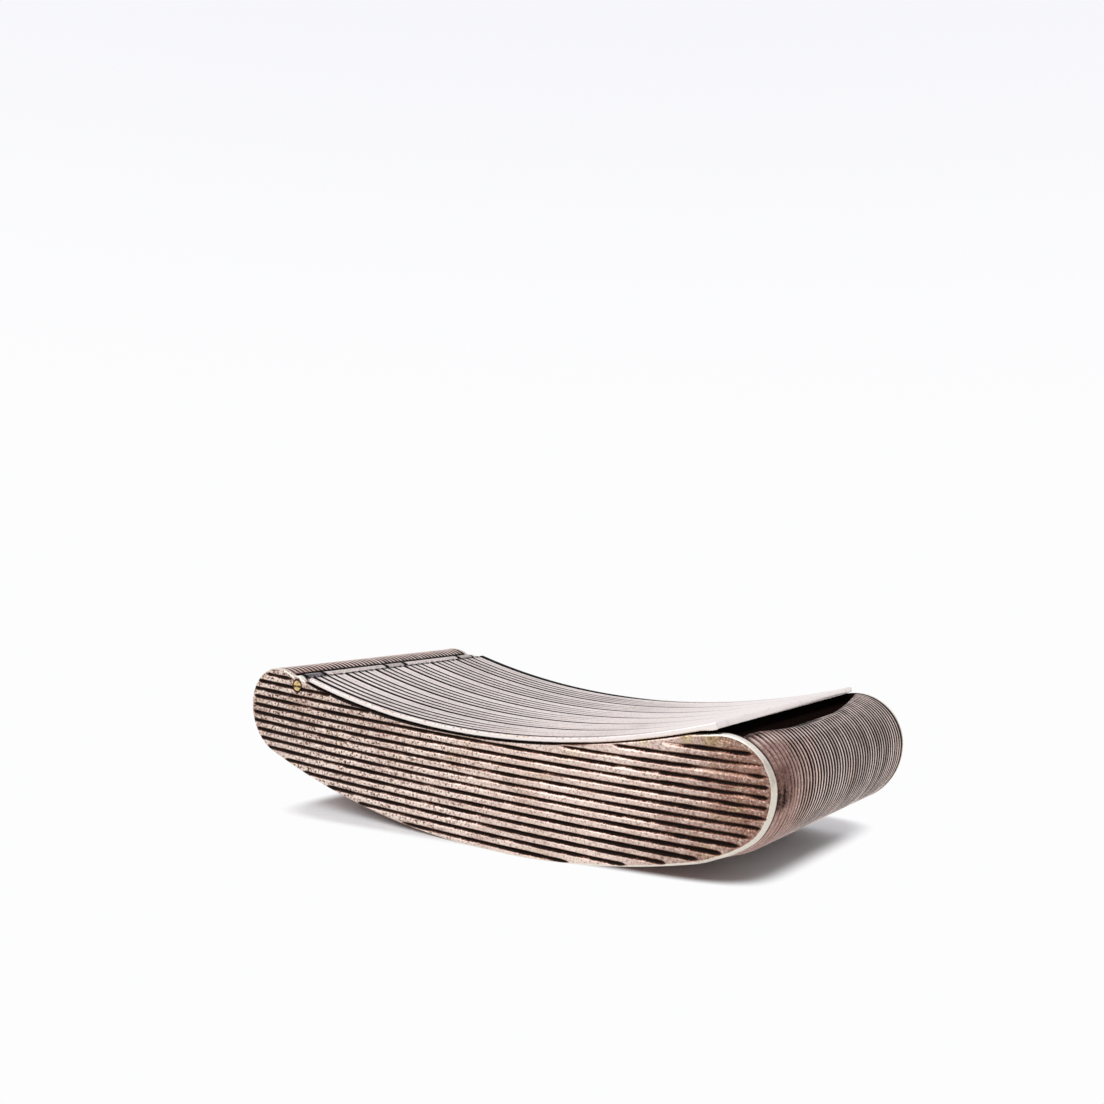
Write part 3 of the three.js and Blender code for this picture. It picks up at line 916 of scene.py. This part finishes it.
def makeBand():
    half = innerHalf - wrapBand["sideGap"]
    pitch = 2 * half / wrapBand["reeds"]
    section = []  # (y, place across its reed from -1 to 1, or None on the inner face)
    for reed in range(wrapBand["reeds"]):
        middle = -half + (reed + 0.5) * pitch
        section += [(middle + t * pitch / 2, t) for t in wrapBand["reedPoints"]]
    section.append((half, 1.0))
    innerStart = len(section)
    section += [(half * (1 - s / 8), None) for s in range(17)]
    columns = [bandColumn(y) for y, t in section]
    lastRow = len(columns[0]) - 1
    thick, reedDepth = wrapBand["thick"], wrapBand["reedDepth"]
    overX, upZ = wrapBand["shoulder"]
    leastDirt, moreDirt, uneven, shoulderDirt = wrapBand["valleyDirt"]
    crestLevel, crestFall = wrapBand["crest"]
    lipDark, lipBrown, lipAmount = wrapBand["lipShade"]
    gleamFrom, gleamTo = wrapBand["gleam"]
    shade, shadeY, shadeLow, shadeHigh = wrapBand["shade"]
    brown, brownRows = wrapBand["brown"]
    mostDull, lessHandled, patchy, lessShoulder = wrapBand["dullness"]
    marks = []

    def place(i, j):
        (x, z, nx, nz), share = columns[j][i]
        y, t = section[j]
        if t is None:
            marks.append((0.0, 0.0, 0.0))
            return (x - nx * thick, y, z - nz * thick)
        handled = smoothStep(*wrapBand["handled"], y)
        shoulder = smoothStep(*overX, x) * smoothStep(*upZ, z)
        tone = waver(y * 1.1, i * 0.02, 5.0)
        glint = smoothStep(-0.2, 0.5, waver(i * 0.12, y * 0.6, 3.0))
        sharp = leastDirt + handled * (moreDirt + uneven * tone)
        valley = abs(t) * (sharp + (shoulderDirt - sharp) * shoulder)
        crest = max(0.0, min(1.0, crestLevel - crestFall * abs(t)))
        # painted shade where the notch runs under the lid's lip
        lip = max(smoothStep(*lipDark, share), lipAmount * smoothStep(*lipBrown, share))
        gleam = smoothStep(*gleamFrom, i) * smoothStep(*gleamTo, i) * (0.75 + 0.25 * glint)
        shaded = shade * smoothStep(*shadeY, y) * smoothStep(*shadeLow, z) if x > 0 else 0.0
        shaded *= smoothStep(*shadeHigh, z)
        brownedAndShaded = brown * smoothStep(*brownRows, i) * (1 - 0.35 * handled)
        brownedAndShaded *= 0.75 + 0.5 * waver(i * 0.3, y * 0.25, 8.0)
        # bright crests: rubbed bright where handled, with painted glints; painted highlight in the gleam
        # rows; and bright on the shoulder
        bright = crest * max(gleam, shoulder, handled * (0.5 + 0.5 * glint - 0.4 * tone))
        dull = mostDull - lessHandled * handled - lessShoulder * shoulder
        dull += patchy * waver(y * 0.15, i * 0.05)
        # oxide in the valleys, with painted shade at the notch and beside the front plate
        darkening = max(valley, lip, brownedAndShaded, shaded)
        # the last row, at the hinge end, gets the painted shade line
        marks.append((1.0, 0.0, dull) if i == lastRow else (darkening, bright, dull))
        drop = wrapBand["notchDrop"] * wrapBand["notchRound"] * (1 - math.sqrt(1 - (1 - share) ** 2))
        reed = reedDepth * abs(t) ** wrapBand["reedRound"] * (1 + 0.2 * waver(i * 0.07, y * 0.35))
        reed *= wrapBand["rubbedReed"] + (1 - wrapBand["rubbedReed"]) * max(handled, shoulder)
        sunk = max(min(reed, reedDepth), drop) + endWear(x, y, z)
        sunk = min(sunk, thick - wrapBand["leastWall"])
        return (x - nx * sunk, y, z - nz * sunk)
    band = meshObject("wrap_band_sheet", *sweep(range(len(columns[0])), range(len(section)), place))
    markPoints(band, ("groove", "edge", "dulling"), marks)
    inner = []
    for face in band.data.polygons:
        places = [v % len(section) for v in face.vertices]
        inner.append(1 if min(places) >= innerStart and len(places) == 4 else 0)
    finishPiece(band, "body", "wrap_band", [bandSilver, giltSilver], inner)


makeBand()
print("wrap band swept")

# Lid: sheet bent to the rim, with groups of a deep line, a broad land and fine lines
lidSheet = {
    "thick": 0.55,
    "gap": 0.15,
    "setback": 1.7,
    "reach": 6.8,
    "border": 0.9,
    "groups": 6,
    "broadLand": 2.1,
    "fineLines": 3,
    "deepLine": (0.43, 0.26),  # half its mouth, depth
    "fineLine": (0.3, 0.14),
    "edgeRound": 0.14,
    "hingeShade": 0.2,  # painted shade line along the hinge
    "wornBright": (2, 27),  # rubbed bright from here to there
    "thumbLip": (0.2, 2, 0.5),  # how far the thumb edge is turned down, from and to this far from its end
    "fineWear": (0.18, (9, -20)),  # least of a fine line, and full over x
    "deepWear": (0.5, 0.9, (28, -2)),  # least of a deep line, and more over x
    "deepRubbed": (0.5, (-8, -20)),  # less again near the hinge
    "wearUneven": 0.35,
    "rearBorder": (0.5, (16.9, 17.4), (8, -4)),  # dark rear border: amount, over y, over x
    "lineHighlight": (26, 0),  # painted highlight on the edges of the lines, over x
    "dullness": (0.12, 0.35, 0.25),  # towards the hinge, unevenness, towards the rear
}
lidStartX = hinge.x + lidSheet["setback"]
lidEndX = halfLength - lidSheet["reach"]


def lidGrooves():  # (y, half mouth, depth, is a deep line)
    deepHalf = halfWidth - lidSheet["border"]
    group = 2 * deepHalf / lidSheet["groups"]
    finePitch = (group - lidSheet["broadLand"]) / lidSheet["fineLines"]
    grooves = []
    for i in range(lidSheet["groups"] + 1):
        deepY = deepHalf - i * group
        grooves.append((deepY, *lidSheet["deepLine"], True))
        if i < lidSheet["groups"]:
            for j in range(lidSheet["fineLines"]):
                fineY = deepY - lidSheet["broadLand"] - j * finePitch
                grooves.append((fineY, *lidSheet["fineLine"], False))
    return grooves


def lidSection(grooves):  # (y, height over the underside, groove number or None, place across it)
    edge, thick = lidSheet["edgeRound"], lidSheet["thick"]
    turns = [math.pi / 8 * i for i in range(5)]
    corner = [(edge * (1 - math.sin(t)), edge * (1 - math.cos(t))) for t in turns]
    section = [(halfWidth - inset, thick - drop, None, 0) for inset, drop in reversed(corner)]
    for g, (y, reach, *rest) in enumerate(grooves):
        section += [(y - reach * s / 4, thick, g, s / 4) for s in range(-4, 5)]
        if g + 1 < len(grooves):
            section.append(((y - reach + grooves[g + 1][0] + grooves[g + 1][1]) / 2, thick, None, 0))
    section += [(-halfWidth + inset, thick - drop, None, 0) for inset, drop in corner]
    section += [(-halfWidth, edge * 0.8, None, 0), (-halfWidth + edge * 0.8, 0, None, 0)]
    section += [(halfWidth * s / 6, 0, None, 0) for s in range(-5, 6)]
    section += [(halfWidth - edge * 0.8, 0, None, 0), (halfWidth, edge * 0.8, None, 0)]
    return section


def lidRows():  # places along the lid, each with its share of the end rounding
    edge, gap = lidSheet["edgeRound"], lidSheet["gap"]
    ends = (0.5, 0.15, 0.0)
    rows = [(rimLine(lidStartX + edge * share, lidEndX, gap, 1)[0], share) for share in reversed(ends)]
    rows += [(p, 1.0) for p in rimLine(lidStartX + edge, lidEndX - edge, gap)]
    return rows + [(rimLine(lidStartX, lidEndX - edge * share, gap, 1)[1], share) for share in ends]


def makeLid():
    edge, thick = lidSheet["edgeRound"], lidSheet["thick"]
    lines = lidGrooves()
    section = lidSection(lines)
    leastFine, fineX = lidSheet["fineWear"]
    leastDeep, deeper, deepX = lidSheet["deepWear"]
    rubbed, rubbedX = lidSheet["deepRubbed"]
    borderDirt, borderY, borderX = lidSheet["rearBorder"]
    hingeDull, patchy, rearDull = lidSheet["dullness"]
    turnedDown, lipFrom, lipTo = lidSheet["thumbLip"]
    marks = []

    def place(row, point):
        (x, z, nx, nz), share = row
        y, height, g, s = point
        pinch = edge * (1 - math.sqrt(1 - (1 - share) ** 2))
        mark, sunk = 0.0, 0.0
        if g is not None:
            depth, deep = lines[g][2:]
            wear = leastFine + smoothStep(*fineX, x)
            if deep:
                wear = leastDeep + deeper * smoothStep(*deepX, x) - rubbed * smoothStep(*rubbedX, x)
            wear *= 1 + lidSheet["wearUneven"] * waver(x * 0.1, g * 5.7)
            mark = (1 - abs(s)) ** 0.9 * wear
            sunk = depth * min(1.0, (1 - abs(s)) ** 1.6 * wear)
        onTop = height > thick - edge * 0.9 and share > 0.6
        rearBorder = smoothStep(*borderY, y) * smoothStep(*borderX, x) if onTop else 0.0
        bright = 0.9 * smoothStep(*lidSheet["wornBright"], x + 0.25 * y)
        # painted highlight along the edges of the lines
        lip = smoothStep(*lidSheet["lineHighlight"], x) if g is not None and abs(s) > 0.9 else 0.0
        darkening = max(mark, borderDirt * rearBorder)
        shine = max((1 - mark) * bright, lip) * (1 - rearBorder) if onTop else 1.0
        dull = hingeDull * smoothStep(10, -14, x) + patchy * waver(x * 0.06, y * 0.2)
        dull += rearDull * smoothStep(-4, 16, y)
        # painted shade line where the lid meets the hinge tubes
        inHingeShade = x < lidStartX + lidSheet["hingeShade"]
        marks.append((1.0, 0.0, dull) if inHingeShade else (darkening, shine, dull))
        out = max(min(height - sunk, thick - pinch), pinch * 0.5)
        if height < edge and y < innerHalf:
            out -= turnedDown * smoothStep(lidEndX - lipFrom, lidEndX - lipTo, x)
        return (x + nx * out, y * (1 - pinch / halfWidth), z + nz * out)
    lid = meshObject("lid_sheet", *sweep(lidRows(), section, place))
    markPoints(lid, ("groove", "edge", "dulling"), marks)
    under = [j for j, p in enumerate(section) if p[1] == 0]
    inner = [1 if all(v % len(section) in under for v in f.vertices) else 0 for f in lid.data.polygons]
    finishPiece(lid, "lid", "lid_plate", [lidSilver, giltSilver], inner)


makeLid()
print("lid swept")

# Hinge: five tubes in line and the pin
hingeSet = {
    "tubeRadius": 1.4,
    "bore": 0.83,
    "chamfer": 0.12,
    "gap": 0.2,
    "endTube": 3.2,
    "middleTube": 3.6,
    "pinRadius": 0.75,
    "pinDome": 0.12,
    "pinRing": (0.7, (0.82, 0.98)),  # dirt round the pin's end: amount, over its radius
    "pinDash": (0.32, (0.3, 0.1)),  # worn line across it
    "sides": 48,
}


def makeTube(node, body, slot, finish, fromY, toY):
    c, outer, bore = hingeSet["chamfer"], hingeSet["tubeRadius"], hingeSet["bore"]
    profile = [(bore, fromY), (outer - c, fromY), (outer - c * 0.3, fromY + c * 0.3), (outer, fromY + c)]
    profile += [(outer, fromY + 3 * c), (outer, (fromY + toY) / 2), (outer, toY - 3 * c)]
    profile += [(outer, toY - c), (outer - c * 0.3, toY - c * 0.3), (outer - c, toY), (bore, toY)]
    turns = turnsRound(hingeSet["sides"])
    verts, faces = sweep(turns, profile, lambda turn, p: roundHinge(turn, *p), loop=True)
    tube = meshObject(node + "_tube", verts, faces)
    ends = [(0.8 if min(abs(y - fromY), abs(y - toY)) < c * 1.1 else 0.0,) for r, y in profile]
    markPoints(tube, ["groove"], ends * len(turns))
    finishPiece(tube, body, node, [finish])


endEdge, middleEdge = innerHalf - hingeSet["endTube"], hingeSet["middleTube"] / 2
wallEdge = innerHalf - bodyLine["solderGap"]
lidSpan = (middleEdge + hingeSet["gap"], endEdge - hingeSet["gap"])
makeTube("body_knuckle_front", "body", "reeded_silver", shadedTubeSilver, -wallEdge, -endEdge)
makeTube("body_knuckle_middle", "body", "reeded_silver", wornTubeSilver, -middleEdge, middleEdge)
makeTube("body_knuckle_rear", "body", "reeded_silver", wornTubeSilver, endEdge, wallEdge)
makeTube("lid_knuckle_front", "lid", "lid_silver", lidTubeSilver, -lidSpan[1], -lidSpan[0])
makeTube("lid_knuckle_rear", "lid", "lid_silver", lidTubeSilver, *lidSpan)


def makePin():
    radius, dome = hingeSet["pinRadius"], hingeSet["pinDome"]
    ends = [(math.sin(a), math.cos(a)) for a in (math.pi / 2 * i / 6 for i in range(1, 7))]
    rows = [(-halfWidth + dome * (1 - c), radius * s) for s, c in ends]
    rows += [(halfWidth - dome * (1 - c), radius * s) for s, c in reversed(ends)]
    pin = turnedPiece("hinge_pin_wire", rows, hingeSet["sides"])
    ringDirt, ringSpan = hingeSet["pinRing"]
    dashDirt, dashSpan = hingeSet["pinDash"]
    marks = []
    for y, r in rows:
        for turn in turnsRound(hingeSet["sides"]):
            ring = ringDirt * smoothStep(*ringSpan, r / radius)
            dash = dashDirt * smoothStep(*dashSpan, abs(math.sin(turn) + 0.15) * r / radius)
            marks.append((max(ring, dash),))
    markPoints(pin, ["groove"], marks)
    finishPiece(pin, "body", "hinge_pin", [pinBrass])


makePin()
print("hinge tubes and pin turned")

# Inner strips: bearers of the body, hinge strip and bezels of the lid
innerStrip = {
    "bearerThick": 0.8,
    "bearerLap": 1.2,
    "bearerTuck": 1.0,
    "bandReach": 6.5,
    "troughRadius": 1.5,
    "troughThick": 0.7,
    "troughTurn": (165, 300),
    "stripTurn": (-40, 35),
    "stripLength": 1.5,
    "stripDepth": 1.9,
    "bezelHeight": 1.3,
    "bezelThick": 0.7,
    "bezelClear": 0.3,
    "edgeRound": 0.08,
}


def paintedShadeFaces(piece, outward):  # faces that look outward get the near-black painted shade
    return [1 if face.normal.dot(Vector(outward)) > 0.5 else 0 for face in piece.data.polygons]


def acrossBox(node, kind, body, points, half, outward):  # an outline in XZ carried from front to rear
    e = innerStrip["edgeRound"]
    section = counterClockwise(points)
    moves = insetDirections(section)
    end = [(half, e), (half - e * 0.3, e * 0.3), (half - e, 0)]  # broken edge
    rows = [(-y, inset) for y, inset in end] + end[::-1]

    def place(row, i):
        (x, z), (mx, mz) = section[i], moves[i]
        return (x + mx * row[1], row[0], z + mz * row[1])
    strip = meshObject(node + kind, *sweep(rows, range(len(section)), place))
    finishPiece(strip, body, node, [giltSilver, paintedShadeSilver], paintedShadeFaces(strip, outward))


def makeThumbBearer():
    outer = thumbEnd["topRadius"] - wrapBand["thick"] - bodyLine["solderGap"]
    centre = thumbEnd["top"]
    fromTurn = math.acos((wrapBand["notchX"] + innerStrip["bearerLap"] - centre[0]) / outer)
    toX = halfLength - innerStrip["bandReach"] - innerStrip["bearerTuck"]
    toTurn = math.acos((toX - centre[0]) / outer)
    inner = outer - innerStrip["bearerThick"]
    section = arc(centre, outer, fromTurn, toTurn, 18) + arc(centre, inner, toTurn, fromTurn, 18)
    acrossBox("thumb_bearer", "_strip", "body", flat(section), wallEdge, (0.25, 0, 0.97))


def makeHingeBearer():
    turns = [math.radians(t) for t in innerStrip["troughTurn"]]
    inner = innerStrip["troughRadius"]
    outer = inner + innerStrip["troughThick"]
    section = arc(hingeAxis, inner, *turns, 28) + arc(hingeAxis, outer, *turns[::-1], 28)
    acrossBox("hinge_bearer", "_trough", "body", flat(section), wallEdge, (0.5, 0, 0.87))


def underLid(x):
    return rimLine(x, lidEndX, lidSheet["gap"], 1)[0][1] - bodyLine["solderGap"]


stripEndX = hinge.x + innerStrip["troughRadius"] + innerStrip["stripLength"]
bezelOuter = innerHalf - innerStrip["bezelClear"]
bezelEndX = halfLength - innerStrip["bandReach"] - innerStrip["bearerTuck"] - innerStrip["bezelClear"]


def makeHingeStrip():
    turns = [math.radians(t) for t in innerStrip["stripTurn"]]
    top = underLid(stripEndX)
    section = flat(arc(hingeAxis, innerStrip["troughRadius"], *turns, 20))
    section += [(stripEndX, top), (stripEndX, top - innerStrip["stripDepth"])]
    acrossBox("lid_hinge_strip", "_bar", "lid", section, bezelOuter, (-0.6, 0, 0.8))


def makeSideBezel(side, node):
    e, thick, height = innerStrip["edgeRound"], innerStrip["bezelThick"], innerStrip["bezelHeight"]
    top = -bodyLine["solderGap"]
    inner = bezelOuter - thick
    section = [
        (bezelOuter, top), (bezelOuter, top - height + e), (bezelOuter - e, top - height),
        (inner + e, top - height), (inner, top - height + e), (inner, top),
    ]
    line = rimLine(stripEndX + thick, bezelEndX - thick, lidSheet["gap"])

    def place(station, p):
        x, z, nx, nz = station
        return (x + nx * p[1], side * p[0], z + nz * p[1])
    bezel = meshObject(node + "_strip", *sweep(line, section, place))
    shadedFaces = paintedShadeFaces(bezel, (1, side, 0))
    finishPiece(bezel, "lid", node, [giltSilver, paintedShadeSilver], shadedFaces)


def makeThumbBezel():
    top = [(x, underLid(x)) for x in (bezelEndX - innerStrip["bezelThick"], bezelEndX)]
    section = top + [(x, z - innerStrip["bezelHeight"]) for x, z in reversed(top)]
    half = bezelOuter - innerStrip["bezelThick"] - bodyLine["solderGap"]
    acrossBox("lid_bezel_thumb", "_strip", "lid", section, half, (1, -1, 0))


makeThumbBearer()
makeHingeBearer()
makeHingeStrip()
makeSideBezel(-1, "lid_bezel_front")
makeSideBezel(1, "lid_bezel_rear")
makeThumbBezel()
print("inner strips made")

# Studio: pale floor, white surroundings that are dimmer at the right, a broad soft lamp
studio = {
    "floorSize": 3.0,
    "floorColour": (0.97, 0.97, 0.972, 1),
    "shadowMiddle": (0.002, 0.001, 0.0),
    "shadowReach": (0.0295, 0.0182, 1.0),  # past this the floor is plain backdrop
    "shadowSlant": (-0.2, 0.0, 0.0),  # its front edge runs back towards the thumb end
    "shadowFade": (0.85, 1.35),
    "lowLight": (0.0, 0.6, 0.12, 1.0),  # from and to this height, light under the box and full
    "backdropRise": (0.05, 0.5),
    "backdropLow": linear(253, 253, 254),
    "backdropHigh": linear(246, 246, 251),
    "overhead": (0.4, 0.75, 1.0, 0.95),  # from, to, and the levels there
    "right": (0.15, 0.85, 1.0, 0.78),
    "front": (-0.2, -0.9, 1.0, 0.92),
    "lampPower": 1.6,
    "lampSize": 0.5,
    "lampPlace": (-0.30, -0.42, 0.55),
}


def looking(tree):  # one for the camera and for reflections, zero for light on matt faces
    path = tree.nodes.new("ShaderNodeLightPath")
    seen = path.outputs["Is Camera Ray"]
    for name in ("Is Glossy Ray", "Is Transmission Ray"):
        seen = most(tree, seen, path.outputs[name])
    return seen


def makeFloor():
    half = studio["floorSize"] / 2
    mesh = bpy.data.meshes.new("floor")
    corners = [(-half, -half, 0), (half, -half, 0), (half, half, 0), (-half, half, 0)]
    mesh.from_pydata(corners, [], [(0, 1, 2, 3)])
    floor = addObject("floor", mesh)
    paper = bpy.data.materials.new("floorPaper")
    paper.use_nodes = True
    tree = paper.node_tree
    shader = tree.nodes["Principled BSDF"]
    shader.inputs["Base Color"].default_value = studio["floorColour"]
    shader.inputs["Roughness"].default_value = 0.9
    shader.inputs["Specular IOR Level"].default_value = 0.0
    glow = tree.nodes.new("ShaderNodeEmission")
    glow.inputs["Color"].default_value = studio["backdropLow"]
    place = tree.nodes.new("ShaderNodeTexCoord").outputs["Object"]
    shift = tree.nodes.new("ShaderNodeCombineXYZ")
    feed(tree, shift.inputs["Y"], vectorSums(tree, "DOT_PRODUCT", place, studio["shadowSlant"]))
    slanted = vectorSums(tree, "ADD", place, shift.outputs[0])
    centred = vectorSums(tree, "SUBTRACT", slanted, studio["shadowMiddle"])
    reach = vectorSums(tree, "DIVIDE", centred, studio["shadowReach"])
    squared = vectorSums(tree, "MULTIPLY", reach, reach)
    squarish = vectorSums(tree, "DISTANCE", vectorSums(tree, "MULTIPLY", squared, squared), (0, 0, 0))
    far = ramp(tree, squarish, *studio["shadowFade"])
    mix = tree.nodes.new("ShaderNodeMixShader")
    tree.links.new(times(tree, far, looking(tree)), mix.inputs[0])
    tree.links.new(shader.outputs[0], mix.inputs[1])
    tree.links.new(glow.outputs[0], mix.inputs[2])
    tree.links.new(mix.outputs[0], tree.nodes["Material Output"].inputs["Surface"])
    mesh.materials.append(paper)


def makeWorld():
    world = bpy.data.worlds.new("studio")
    bpy.context.scene.world = world
    world.use_nodes = True
    tree = world.node_tree
    place = tree.nodes.new("ShaderNodeTexCoord")
    split = tree.nodes.new("ShaderNodeSeparateXYZ")
    tree.links.new(place.outputs["Generated"], split.inputs[0])
    right, back, up = (split.outputs[name] for name in ("X", "Y", "Z"))
    rise = ramp(tree, up, *studio["backdropRise"])
    backdrop = blendColour(tree, rise, studio["backdropLow"], studio["backdropHigh"])
    level = ramp(tree, right, *studio["right"])
    level = times(tree, level, ramp(tree, back, *studio["front"]))
    level = times(tree, level, ramp(tree, up, *studio["overhead"]))
    low = ramp(tree, up, *studio["lowLight"])
    level = times(tree, level, most(tree, looking(tree), low))
    shown = tree.nodes["Background"]
    tree.links.new(backdrop, shown.inputs["Color"])
    tree.links.new(level, shown.inputs["Strength"])


def makeLamp():
    data = bpy.data.lights.new("softLamp", "AREA")
    data.energy = studio["lampPower"]
    data.size = studio["lampSize"]
    lamp = addObject("softLamp", data)
    lamp.location = studio["lampPlace"]
    lamp.rotation_euler = (-Vector(studio["lampPlace"])).to_track_quat("-Z", "Y").to_euler()


makeFloor()
makeWorld()
makeLamp()
bpy.context.scene.view_settings.view_transform = "Standard"
print("studio set")

# Camera: as in the photograph, from the front and thumb end, a little above
cameraView = {
    "eye": (85.57, -124.02, 38.63),
    "yaw": 35.4,
    "pitch": 1.857,
    "roll": 1.985,
    "focalPixels": 1189.07,
    "pictureWidth": 1104,
    "sensor": 36.0,
}


def makeCamera():
    yaw, pitch, roll = (math.radians(cameraView[k]) for k in ("yaw", "pitch", "roll"))
    ahead = Vector((-math.sin(yaw) * math.cos(pitch), math.cos(yaw) * math.cos(pitch), -math.sin(pitch)))
    level = Vector((math.cos(yaw), math.sin(yaw), 0))
    upright = level.cross(ahead)
    right = level * math.cos(roll) + upright * math.sin(roll)
    up = upright * math.cos(roll) - level * math.sin(roll)
    data = bpy.data.cameras.new("camera")
    data.sensor_width = cameraView["sensor"]
    data.lens = cameraView["focalPixels"] / cameraView["pictureWidth"] * cameraView["sensor"]
    data.clip_start = 0.001
    camera = addObject("camera", data)
    turn = Matrix((right, up, -ahead)).transposed()
    camera.matrix_world = Matrix.Translation(Vector(cameraView["eye"]) * metre) @ turn.to_4x4()
    bpy.context.scene.camera = camera


makeCamera()
print("camera placed")
